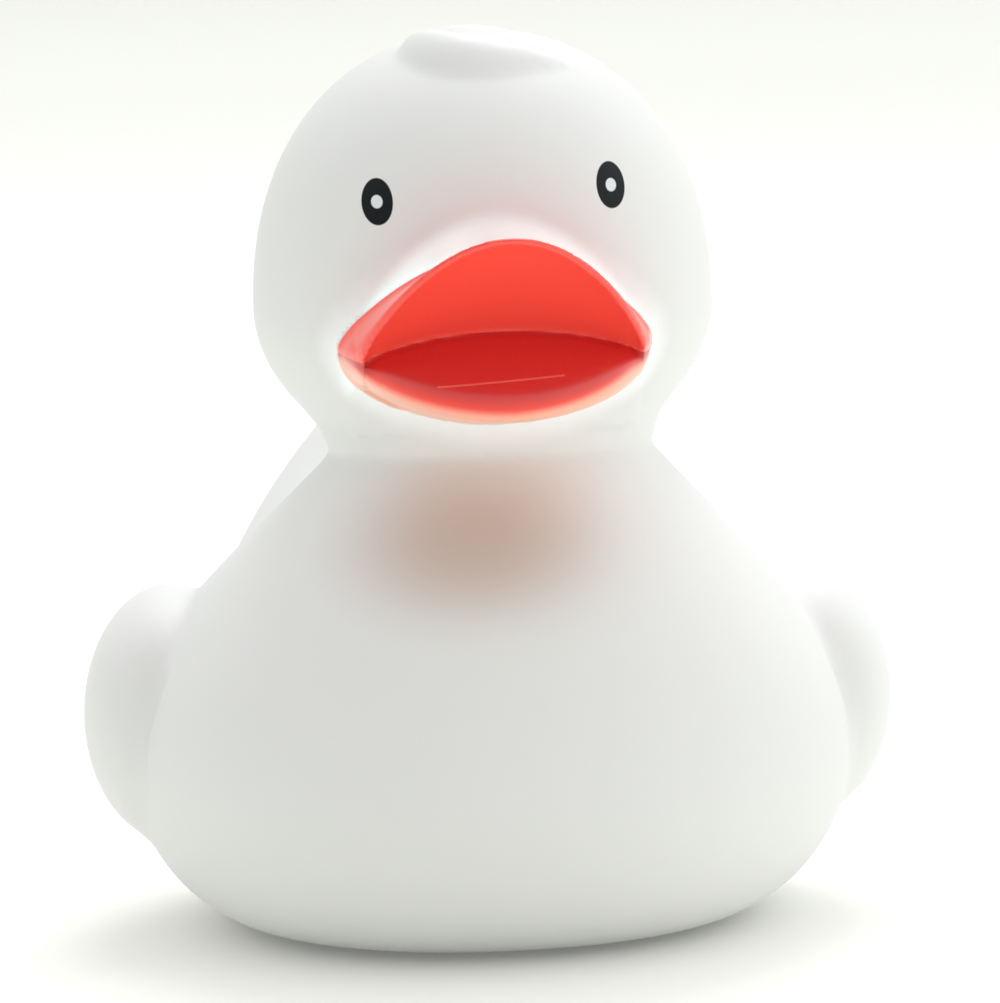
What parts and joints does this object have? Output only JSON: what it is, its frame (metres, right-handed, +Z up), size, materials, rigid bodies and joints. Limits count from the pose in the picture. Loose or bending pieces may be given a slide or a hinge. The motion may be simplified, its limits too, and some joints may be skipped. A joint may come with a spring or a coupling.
{
  "type": "rubber duck",
  "caption": "White soft vinyl bath duck, about 81 mm tall, with a wide open red bill, oval painted eyes and a squeaker in its flat base.",
  "frame": {"origin": "centre of the flat base on the surface it rests on, midway between the bill's tip and the tail's tip", "axes": "+Z up, -Y the way the duck looks, +X to the duck's left"},
  "size_m": [0.073, 0.0796, 0.081],
  "materials": {
    "white_vinyl": "matte soft vinyl with satin red paint on the bill and black and white painted eyes",
    "squeaker_plastic": "moulded polyethylene",
    "reed_film": "thin polyester film"
  },
  "bodies": {
    "root": {"duck_body": "white_vinyl", "squeaker_case": "squeaker_plastic", "squeaker_reed_seat": "squeaker_plastic", "squeaker_reed": "reed_film"}
  },
  "joints": []
}
